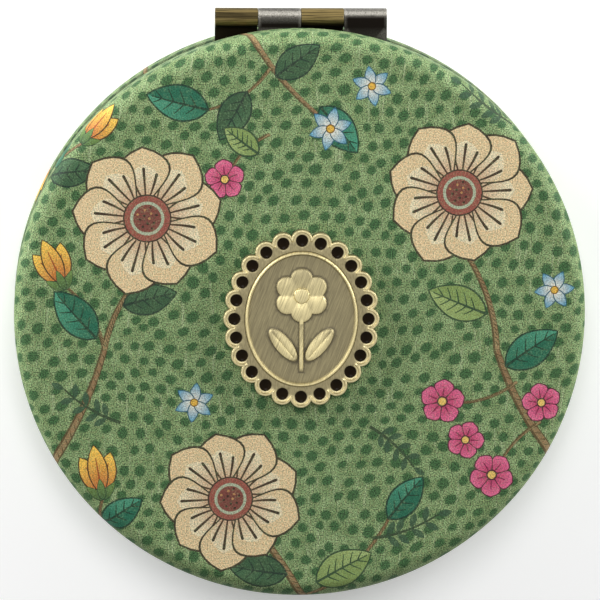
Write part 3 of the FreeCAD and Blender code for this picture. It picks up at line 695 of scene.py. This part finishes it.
# The base's garden has the same plants in another layout
stem((-20, -38), (-3, -6), 0.1, 0.9, 0.55)
stem((24, 36), (13, 17), -0.12, 0.8, 0.5)
stem((-38, 14), (-20, 20), -0.14, 0.75, 0.5)
stem((-12, -22), (-24, -14), 0.16, 0.55, 0.4)
stem((-9.5, -17.5), (5, -24), -0.18, 0.5, 0.4)
stem((38, -8), (25, -13), 0.16, 0.6, 0.45)
stem((20, 29), (30, 18), -0.16, 0.5, 0.4)
fern(-30, -4, 0.6, 8.5)
fern(14, -28.5, 2.7, 8)
fern(2, 29, 0.2, 8.5)
fern(27, 3, 1.9, 8)
leaf(-15, -28.5, 2.6, 7.5, 4, TEAL)
leaf(-10.8, -20, 0.5, 6.5, 3.5, DEEP)
leaf(-29, 17.8, 1.4, 7, 3.8, SAGE)
leaf(-27, 18.6, 4.9, 7, 3.8, TEAL)
leaf(18, 25.6, 2.6, 7, 3.8, TEAL)
leaf(16.4, 22, 5.4, 7, 3.8, SAGE)
leaf(31, -10, 1.2, 6.5, 3.4, DEEP)
leaf(29, -11.2, 4.2, 7, 3.8, TEAL)
leaf(-2, -21, 4.6, 6.5, 3.5, SAGE)
leaf(-13, 10.5, 3.6, 6, 3.2, DEEP)
bud(-24.4, -13.6, 2.5, 6.2)
bud(30.4, 17.6, -0.6, 6)
blossom(5.8, -24.3, 5.2, 0.3)
blossom(11, -20, 4.6, 0.8)
blossom(-9, 26.6, 5.2, 0.5)
blossom(-13.4, 30, 4.4, 1.0)
star_flower(16, 3, 4.8, 0.5)
star_flower(-29.5, 6, 4.6, 0.2)
star_flower(12.6, 16.2, 4.8, 0.0)
daisy(-1, 1, 19, 0.1)
daisy(-17, 20.6, 16.5, 0.3)
daisy(20.5, -14.5, 17.5, 0.2)
cover("base", 0.0)

# Hinge leaves: one in each half, its plate riveted into the core and its straps rolled into the knuckles.
# Pressed from brass strip and aged in a bath. The base's leaf is streaked along the pin; the lid's is darker
# and burnished.
AXIS = 36.1
BARREL = 1.2
LEAF = 0.45
BORE = BARREL - LEAF
LEAF_FROM = 30.45
PLATE_TO = 31.75
HINGE_HALF = 2 * KNUCKLE
KNUCKLE_HALF = 2.6
RUBBED_END = 0.84
RIVET_Y = 31.5
RIVET_HOLE = 0.86
LEAF_EDGE = 0.05
SLIT = 20
ROLL_STEPS = 48
STRAP_ROWS = (PLATE_TO, 33.4, 34.4, 34.8, 35.1, 35.4, 35.7, AXIS)


def hinge_leaf_mesh(name, half):
    """One hinge leaf: a flat comb whose two straps are rolled round the pin."""
    comb = [(-HINGE_HALF, LEAF_FROM), (HINGE_HALF, LEAF_FROM), (HINGE_HALF, PLATE_TO)]
    for middle in reversed(STRAPS):
        comb += [(middle + KNUCKLE_HALF, y) for y in STRAP_ROWS]
        comb += [(middle - KNUCKLE_HALF, y) for y in reversed(STRAP_ROWS)]
    comb.append((-HINGE_HALF, PLATE_TO))
    mesh = slab(name, half, comb, lambda x, y: BARREL, BORE,
                holes=[ring(middle, RIVET_Y, RIVET_HOLE, 24) for middle in STRAPS])
    work = bmesh.new()
    work.from_mesh(mesh)
    ends = [face for face in work.faces if all(abs(vert.co.y - AXIS * MM) < 1e-8 for vert in face.verts)]
    bmesh.ops.delete(work, geom=ends, context="FACES_ONLY")
    for middle in STRAPS:
        last = None
        for step in range(ROLL_STEPS + 1):
            turn = math.radians(90 - (270 + SLIT) * step / ROLL_STEPS)
            now = [work.verts.new(placed(middle + side * KNUCKLE_HALF, AXIS + radius * math.cos(turn),
                                         radius * math.sin(turn), half))
                   for side, radius in ((1, BARREL), (-1, BARREL), (-1, BORE), (1, BORE))]
            if last:
                for at in range(4):
                    work.faces.new([last[at], last[(at + 1) % 4], now[(at + 1) % 4], now[at]])
            last = now
        work.faces.new(last)
    bmesh.ops.remove_doubles(work, verts=work.verts, dist=1e-7)
    bmesh.ops.recalc_face_normals(work, faces=work.faces)
    corners = [edge for edge in work.edges
               if edge.is_manifold and edge.calc_face_angle() > math.radians(50)]
    bmesh.ops.bevel(work, geom=corners, offset=LEAF_EDGE * MM, segments=2, profile=0.5, affect="EDGES")
    rows = [share * side * KNUCKLE_HALF for side in (-1, 1) for share in (RUBBED_END, (RUBBED_END + 1) / 2)]
    for across in [middle + row for middle in STRAPS for row in rows]:
        bmesh.ops.bisect_plane(work, geom=work.verts[:] + work.edges[:] + work.faces[:], dist=1e-7,
                               plane_co=placed(across, AXIS, 0, half), plane_no=(1, 0, 0))
    work.to_mesh(mesh)
    work.free()
    return mesh


def eased(low, high, number):
    """Smooth step from 0 at low to 1 at high."""
    share = min(max((number - low) / (high - low), 0), 1)
    return share * share * (3 - 2 * share)


def rub(mesh, wear):
    """Mark each point of a piece with its wear and painted light, from its place in mm: 0 is dark, 1 rubbed
    bright.
    """
    marks = mesh.attributes.new("rubbed", "FLOAT", "POINT")
    for vert in mesh.vertices:
        marks.data[vert.index].value = wear(vert.co / MM)


# Aged brass strip: dark brown, with brass showing in streaks or in a satin band: wear, and painted highlight
streaked_brass = aged_brass("brass strip, aged and streaked", "1A160E", "8E7C50", (6.0, 0.14, 0.14), 0.46,
                            1.0)
burnished_brass = aged_brass("brass strip, burnished dark", "15120F", "B6B2A8", (0.16, 0.16, 0.16), 0.36,
                             0.7)

# The knuckles from left to right: how much more the ends are rubbed, and how far each is rubbed at distances
# from the pin: wear, painted highlight bands along each roll, and painted shade on its side towards the case
KNUCKLE_WEAR_AND_LIGHT = (
    (0.0, ((-0.95, 0), (-0.6, 0.9), (-0.3, 0.5), (-0.15, 0.7), (0.1, 0.15), (0.7, 0.15), (0.85, 0.8),
           (1.1, 0.5))),
    (0.16, ((-1.4, 0.12), (-1.1, 0), (-0.7, 0), (0.25, 0.15), (0.4, 0.3), (0.6, 0.9), (0.8, 0.9),
            (0.95, 0.3))),
    (0.0, ((-1.0, 0), (-0.5, 0.2), (-0.25, 0.5), (0.5, 0.36), (0.8, 0.65), (0.95, 1), (1.1, 0.55))),
    (0.1, ((-1.4, 0.12), (-1.1, 0), (0.1, 0), (0.4, 0.12), (0.65, 0.9), (0.8, 0.9), (0.95, 0.4))),
)


def knuckle_wear_and_light(point):
    """How far a knuckle is rubbed at a point, with its painted highlights and painted shade."""
    number = min(max(int((point.x + HINGE_HALF) / KNUCKLE), 0), 3)
    middle = (number - 1.5) * KNUCKLE
    more_at_ends, rows = KNUCKLE_WEAR_AND_LIGHT[number]
    out = point.y - AXIS
    # Wear with painted light: bands of painted highlight, and painted shade towards the case
    wear = rows[0][1]
    for (low, from_wear), (high, to_wear) in zip(rows, rows[1:]):
        wear += (to_wear - from_wear) * min(max((out - low) / (high - low), 0), 1)
    end = eased(KNUCKLE_HALF * RUBBED_END, KNUCKLE_HALF, abs(point.x - middle))
    return min(wear + more_at_ends * end * eased(-BARREL, -BORE, out), 1)


for half, material in (("base", streaked_brass), ("lid", burnished_brass)):
    name = f"hinge_{half}_strap_leaf"
    mesh = hinge_leaf_mesh(name, half)
    rub(mesh, knuckle_wear_and_light)
    piece(name, mesh, material, half, "antique_brass", f"hinge_{half}_leaf")

# Rivets, pin and push nuts: countersunk rivets hold each leaf in its core, the pin runs through all four
# knuckles, and the nuts grip the badge's posts inside the lid. They are the CAD solids.
# Zinc-plated steel, drawn and cut, so it is a dull grey with fine lines along it.
zinc_steel = grained("zinc-plated drawn steel", (3, 0.12, 0.12), "8C8A84", "B9B6AE", (0.3, 0.45),
                     settings={"Detail": 3.0}, surface={"Metallic": 1.0})
dress(zinc_steel, "rivet_steel", "base_leaf_rivets", "lid_leaf_rivets", "hinge_pin", "badge_push_nuts")

# Badge plate: an oval with a scalloped edge and a dimple in each scallop, on two posts through the lid.
# Die-cast zinc, plated with brass, aged brown and rubbed, so the lips are bright and the sunk band is dull.
BADGE_SEAT = 6.4
BADGE_BAND = 7.3
LIP_TOP = 7.5
LIP_SHOULDER = 7.34
LIP_WIDTH = 0.35
LIP_EDGE = 0.1
DIMPLE_FLOOR = 6.9
DOTS = 24
DOT_OVAL = (8.18, 9.63)
SCALLOP = 1.35
LIP_FOOT = SCALLOP - LIP_WIDTH
DIMPLE = 0.72
MOUTH_DEPTH = 0.06
MOUTH_EDGE = 0.08
MEDALLION = (6.9, 8.35)
SEAT_GAP = 0.05
SEAT_STEP = 0.01
POST_FOOT = 2.6
POST_RADIUS = 0.7
POST_OVERLAP = 0.05
MOUTH_RINGS = (0.7, 0.73, 0.76, 0.8)
LIP_RINGS = (0.94, 0.98, 1.01, 1.04, 1.08, 1.16, 1.25, 1.28, 1.305, 1.33)


def oval_inset(x, y, oval):
    """How far inside an oval a point is, nearly."""
    across, along = oval
    reach = math.hypot(x / across, y / along)
    if reach < 1e-6:
        return across
    return (1 - reach) * reach / math.hypot(x / across ** 2, y / along ** 2)


def oval_ring(oval, inset, count=120):
    """Points round an oval, a distance inside its edge."""
    across, along = oval
    points = []
    for step in range(count):
        turn = 2 * math.pi * step / count
        x, y = across * math.cos(turn), along * math.sin(turn)
        lean = math.atan2(y / along ** 2, x / across ** 2)
        points.append((x - inset * math.cos(lean), y - inset * math.sin(lean)))
    return points


even_share = (DOT_OVAL[1] ** 2 - DOT_OVAL[0] ** 2) / (DOT_OVAL[1] ** 2 + DOT_OVAL[0] ** 2) / 4
dots = []
for number in range(DOTS):
    turn = 2 * math.pi * number / DOTS
    turn -= even_share * math.sin(2 * turn)
    dots.append((DOT_OVAL[0] * math.cos(turn), DOT_OVAL[1] * math.sin(turn)))


def from_dot(x, y):
    """Distance to the middle of the nearest dimple."""
    return min(math.dist((x, y), dot) for dot in dots)


def plate_level(x, y):
    """Height of the plate's top: sunk band with dimples, raised lip round it, seat of the medallion."""
    near = from_dot(x, y)
    if near < DIMPLE or oval_inset(x, y, MEDALLION) > -SEAT_GAP:
        return DIMPLE_FLOOR
    outside = eased(0.1, -0.12, oval_inset(x, y, DOT_OVAL))
    lip = eased(LIP_FOOT - 0.02, LIP_FOOT + 0.08, near) * outside
    fall = max((near - SCALLOP + LIP_EDGE) / LIP_EDGE, 0) ** 2 * (LIP_TOP - LIP_SHOULDER) * outside
    mouth = MOUTH_DEPTH * (1 - eased(DIMPLE, DIMPLE + MOUTH_EDGE, near))
    return BADGE_BAND + (LIP_TOP - BADGE_BAND) * lip - fall - mouth


outline = []
for number, dot in enumerate(dots):
    notches = []
    for other in (dots[number - 1], dots[(number + 1) % DOTS]):
        x, y = (dot[0] + other[0]) / 2, (dot[1] + other[1]) / 2
        out = math.atan2(y / DOT_OVAL[1] ** 2, x / DOT_OVAL[0] ** 2)
        notch = aside(x, y, out, math.sqrt(SCALLOP ** 2 - (math.dist(dot, other) / 2) ** 2))
        notches.append(math.atan2(notch[1] - dot[1], notch[0] - dot[0]))
    sweep = (notches[1] - notches[0]) % (2 * math.pi)
    outline += [aside(*dot, notches[0] + sweep * step / 16, SCALLOP) for step in range(16)]
mouths = [ring(*dot, radius, 28) for dot in dots for radius in MOUTH_RINGS]
seat = [oval_ring(MEDALLION, -SEAT_GAP - SEAT_STEP), oval_ring(MEDALLION, -SEAT_GAP + SEAT_STEP)]
lips = [point for dot in dots for radius in LIP_RINGS for point in ring(*dot, radius, 48)
        if from_dot(*point) > LIP_RINGS[0] - 0.01 and oval_inset(*point, DOT_OVAL) < 0.3]
band = [point for point in spread(9.5, 11, 0.25) if from_dot(*point) > MOUTH_RINGS[-1] + 0.04
        and oval_inset(*point, MEDALLION) < -0.1 and oval_inset(*point, DOT_OVAL) > 0.1]
mesh = slab("badge_plate_cast", "lid", outline, plate_level, BADGE_SEAT, rings=mouths + seat,
            points=lips + band)


def add_turned(work, x, y, profile, count=24):
    """Add a closed turned form, from its top to its foot; the profile gives its radius at each level."""
    rows = [[work.verts.new(placed(*point, level, "lid")) for point in ring(x, y, radius, count)]
            for radius, level in profile]
    work.faces.new(rows[0])
    work.faces.new(rows[-1][::-1])
    for upper, lower in zip(rows, rows[1:]):
        for at in range(count):
            after = (at + 1) % count
            work.faces.new([lower[at], lower[after], upper[after], upper[at]])


work = bmesh.new()
work.from_mesh(mesh)
for x, y in POST_HOLES:
    add_turned(work, x, y, ((POST_RADIUS, BADGE_SEAT + POST_OVERLAP), (POST_RADIUS, POST_FOOT)))
work.to_mesh(mesh)
work.free()

# Aged brass plate on a casting: dull khaki in the hollows, pale brass where it is rubbed
plated_casting = aged_brass("brass-plated casting, aged and rubbed", "4E4736", "BCB087", (0.16, 0.6, 0.6),
                            0.44, 0.4)


def plate_wear_and_shade(point):
    """How far the plate is rubbed: least in the dimples and on the walls, most on the lip. The dark ring
    round each dimple's mouth is patina and painted shade.
    """
    level = point.z - PARTING
    if level < BADGE_BAND - 0.2:
        return 0.08
    # Patina and painted shade: a dark ring round the mouth of each dimple
    if from_dot(point.x, point.y) < DIMPLE + 0.045:
        return 0.05
    outer = eased(0.3, -0.2, oval_inset(point.x, point.y, DOT_OVAL))
    return 0.4 + 0.6 * max(outer, eased(BADGE_BAND + 0.01, LIP_TOP - 0.04, level))


rub(mesh, plate_wear_and_shade)
piece("badge_plate_cast", mesh, plated_casting, "lid", "cast_brass", "badge_plate")

# Enamel dots: a drop of dark brown enamel in each dimple of the plate.
# Cold enamel run in with a needle, so each drop sinks a little in its middle; nearly black, faintly shiny.
DROP = ((0.25, 7.08), (0.45, 7.1), (0.6, 7.14), (0.685, 7.19), (0.695, 7.17), (0.695, DIMPLE_FLOOR))
dark_enamel = grained("dark brown cold enamel", (0.5, 0.5, 0.5), "1C150A", "261C0E", (0.12, 0.25),
                      surface={"IOR": 1.5, "Specular IOR Level": 0.04})
work = bmesh.new()
for dot in dots:
    add_turned(work, *dot, DROP)
mesh = bpy.data.meshes.new("badge_enamel_drops")
work.to_mesh(mesh)
work.free()
piece("badge_enamel_drops", mesh, dark_enamel, "lid", "dark_enamel", "badge_enamel_dots")

# Medallion: an oval set into the plate, with a raised rim and a generic flower in relief.
# Cast, plated and aged like the plate, then brushed, so its field is dull and the flower satin.
FIELD = 7.25
RIM = 0.47
RIM_TOP = 7.7
RELIEF = 0.4
BLOOM = (0.0, 2.9)
PETALS = 6
PETAL_RING = 2.0
PETAL = 1.4
EYE = 1.05
EYE_TOP = 7.85
STEM_HALF = 0.3
STEM_FOOT = -6.6
LEAFLET = (1.05, 2.6)
LEAFLET_AT = (2.2, -3.2)
LEAFLET_LEAN = math.radians(40)
MIDRIB = 0.12
petal_spots = [aside(*BLOOM, math.pi / 2 + 2 * math.pi * number / PETALS, PETAL_RING)
               for number in range(PETALS)]


def leaflet_place(x, y, side):
    """A point of the field in a leaflet's own across and along."""
    x, y = x - side * LEAFLET_AT[0], y - LEAFLET_AT[1]
    lean = side * LEAFLET_LEAN
    return x * math.cos(lean) - y * math.sin(lean), x * math.sin(lean) + y * math.cos(lean)


def cushion(near, groove=0.0):
    """Height of a petal or leaflet at a share of the way from its middle to its edge."""
    return RELIEF * eased(1, 0.88, near) * (0.45 + 0.55 * (1 - min(near, 1) ** 2) - groove)


def medallion_level(x, y):
    """Height of the medallion: rim, field, petals, eye, stem and leaflets."""
    inset = oval_inset(x, y, MEDALLION)
    rim = (RIM_TOP - FIELD) * eased(-0.12, 0.16, inset) * (1 - eased(RIM - 0.17, RIM + 0.06, inset))
    rises = [cushion(math.dist((x, y), petal) / PETAL) for petal in petal_spots]
    for side in (-1, 1):
        across, along = leaflet_place(x, y, side)
        near = math.hypot(across / LEAFLET[0], along / LEAFLET[1])
        rises.append(cushion(near, 0.3 * math.exp(-(across / MIDRIB) ** 2) * eased(0.9, 0.7, near)))
    if STEM_FOOT < y < BLOOM[1] and abs(x) < STEM_HALF:
        foot = eased(STEM_FOOT, STEM_FOOT + 0.2, y)
        rises.append(RELIEF * 0.85 * math.sqrt(1 - (x / STEM_HALF) ** 2) * foot)
    near = math.dist((x, y), BLOOM) / EYE
    if near < 1:
        rises.append((EYE_TOP - FIELD) * eased(1, 0.8, near) * (0.6 + 0.4 * math.sqrt(1 - near ** 2)))
    return FIELD + rim + max(0, *rises)


def medallion_edge(x, y):
    """How far outside the nearest petal, stem or leaflet a point of the field is, nearly."""
    edges = [math.dist((x, y), petal) - PETAL for petal in petal_spots]
    for side in (-1, 1):
        across, along = leaflet_place(x, y, side)
        edges.append((math.hypot(across / LEAFLET[0], along / LEAFLET[1]) - 1) * LEAFLET[0])
    if STEM_FOOT < y < BLOOM[1]:
        edges.append(abs(x) - STEM_HALF)
    return min(edges)


CUSHION_RINGS = (1, 0.96, 0.92, 0.88, 0.7, 0.45)
field = [point for point in spread(6.2, 7.6, 0.3) if medallion_edge(*point) > 0.14]
rings = [oval_ring(MEDALLION, inset) for inset in (0.05, 0.1, 0.16, 0.23, 0.3, 0.37, 0.45, 0.53)]
rings += [ring(*petal, PETAL * share, 40) for petal in petal_spots for share in (*CUSHION_RINGS, 0.2)]
rings += [ring(*BLOOM, EYE * share, 40) for share in (1, 0.93, 0.87, 0.8, 0.55, 0.3)]
for side in (-1, 1):
    middle = (side * LEAFLET_AT[0], LEAFLET_AT[1], math.pi / 2 - side * LEAFLET_LEAN)
    field += [aside(*middle, LEAFLET[1] * 0.09 * step, across)
              for across in (-MIDRIB, 0.0, MIDRIB) for step in range(-9, 10)]
    rings += [[aside(*middle, LEAFLET[1] * along, LEAFLET[0] * across)
               for along, across in ring(0, 0, share, 40)] for share in CUSHION_RINGS]
for half_width in (STEM_HALF, STEM_HALF * 0.8, STEM_HALF * 0.45):
    rungs = [STEM_FOOT + (BLOOM[1] - STEM_FOOT) * step / 16 for step in range(17)]
    rings.append([(half_width, y) for y in rungs] + [(-half_width, y) for y in reversed(rungs)])
mesh = slab("badge_medallion_cast", "lid", oval_ring(MEDALLION, 0), medallion_level, DIMPLE_FLOOR,
            rings=rings, points=field)

# The same plate, brushed at a slant: fine streaks that catch the light
brushed_casting = aged_brass("brass-plated casting, aged and brushed", "554F40", "CBBE90", (0.1, 2.4, 2.4),
                             0.46, 0.55, lean=-20)


def medallion_wear_and_light(point):
    """How far the medallion is rubbed: least in the corners of the field, most on the rim. The flower and
    leaflets get painted shade towards their tops and a painted highlight towards their bottoms.
    """
    raised = eased(FIELD + 0.05, FIELD + 0.3, point.z - PARTING)
    if oval_inset(point.x, point.y, MEDALLION) < RIM + 0.1:
        return 0.24 + 0.76 * raised
    if raised == 0 and medallion_edge(point.x, point.y) < 0.1:
        return 0.02
    # Painted light: each raised form is darker towards its top and lighter towards its bottom
    middle = BLOOM[1] if point.y > LEAFLET_AT[1] + LEAFLET[1] else LEAFLET_AT[1]
    return 0.24 + raised * (0.14 + 0.5 * eased(middle + 3.0, middle - 0.6, point.y))


rub(mesh, medallion_wear_and_light)
piece("badge_medallion_cast", mesh, brushed_casting, "lid", "cast_brass", "badge_medallion")

# Stage: a white table under the case, a soft box above and behind it, a low one at each side, and a camera.
# The table is matt laminate and keeps the case's shadow; it and the room glow white only where they show.
TABLE_HALF = 2000
TABLE_TOP = -0.02
corners = [(x * TABLE_HALF * MM, y * TABLE_HALF * MM, TABLE_TOP * MM)
           for x, y in ((-1, -1), (1, -1), (1, 1), (-1, 1))]
floor = bpy.data.objects.new("table", bpy.data.meshes.new("table"))
floor.data.from_pydata(corners, [], [(0, 1, 2, 3)])
bpy.context.scene.collection.objects.link(floor)


def seen_in(tree):
    """1 on rays from the camera, direct, reflected or passed through, and 0 on those that light the case."""
    path = add(tree, "LightPath")
    seen = add(tree, "Math", {"operation": "MAXIMUM"},
               {0: path.outputs["Is Camera Ray"], 1: path.outputs["Is Glossy Ray"]})
    return add(tree, "Math", {"operation": "MAXIMUM"}, {0: seen, 1: path.outputs["Is Transmission Ray"]})


white_table, tree = new_finish("white matt laminate")
place = add(tree, "TexCoord").outputs["Object"]
fleck = add(tree, "TexNoise", {"Scale": 1 / (0.5 * MM)}, {"Vector": place})
shade = add(tree, "Mix", {"data_type": "RGBA", 6: linear("FBFBFB"), 7: linear("FFFFFF")}, {0: fleck})
lift = add(tree, "Math", {"operation": "MULTIPLY", 1: 0.22}, {0: seen_in(tree)})
laminate = add(tree, "BsdfPrincipled", {"Roughness": 0.8, "Specular IOR Level": 0.2,
                                        "Emission Color": linear("FFFFFF")},
               {"Base Color": shade.outputs[2], "Emission Strength": lift})
add(tree, "OutputMaterial", links={"Surface": laminate})
floor.data.materials.append(white_table)

world = bpy.data.worlds.new("studio")
bpy.context.scene.world = world
world.use_nodes = True
tree = world.node_tree
tree.nodes.clear()
power = add(tree, "MapRange", {3: 0.16, 4: 1.0}, {0: seen_in(tree)})
sky = add(tree, "Background", {"Color": linear("FFFFFF")}, {"Strength": power})
add(tree, "OutputWorld", links={"Surface": sky})


def lamp(name, at, width, height, watts):
    """Soft box at a point in mm, facing the middle of the case."""
    light = bpy.data.lights.new(name, "AREA")
    light.shape = "RECTANGLE"
    light.size = width * MM
    light.size_y = height * MM
    light.energy = watts
    made = bpy.data.objects.new(name, light)
    made.location = Vector(at) * MM
    made.rotation_euler = (Vector((0, 0, PARTING)) - Vector(at)).to_track_quat("-Z", "Y").to_euler()
    bpy.context.scene.collection.objects.link(made)


lamp("key_light", (-15, 250, 530), 160, 280, 1.06)
lamp("left_light", (-400, 250, 115), 400, 140, 3.15)
lamp("right_light", (420, 220, 115), 400, 140, 2.75)

CAMERA_TURN = Euler((math.radians(-8.9), math.radians(-2.8), math.radians(0.43)), "ZXY")
CAMERA_AWAY = 616
AIM = (-0.12, 2.1, 11.7)
eye = bpy.data.cameras.new("camera")
eye.sensor_width = 36
eye.lens = 302.8
eye.clip_start = 0.05
camera = bpy.data.objects.new("camera", eye)
camera.rotation_mode = "ZXY"
camera.rotation_euler = CAMERA_TURN
camera.location = (Vector(AIM) + CAMERA_TURN.to_matrix() @ Vector((0, 0, CAMERA_AWAY))) * MM
bpy.context.scene.collection.objects.link(camera)
bpy.context.scene.camera = camera
bpy.context.scene.view_settings.view_transform = "Standard"
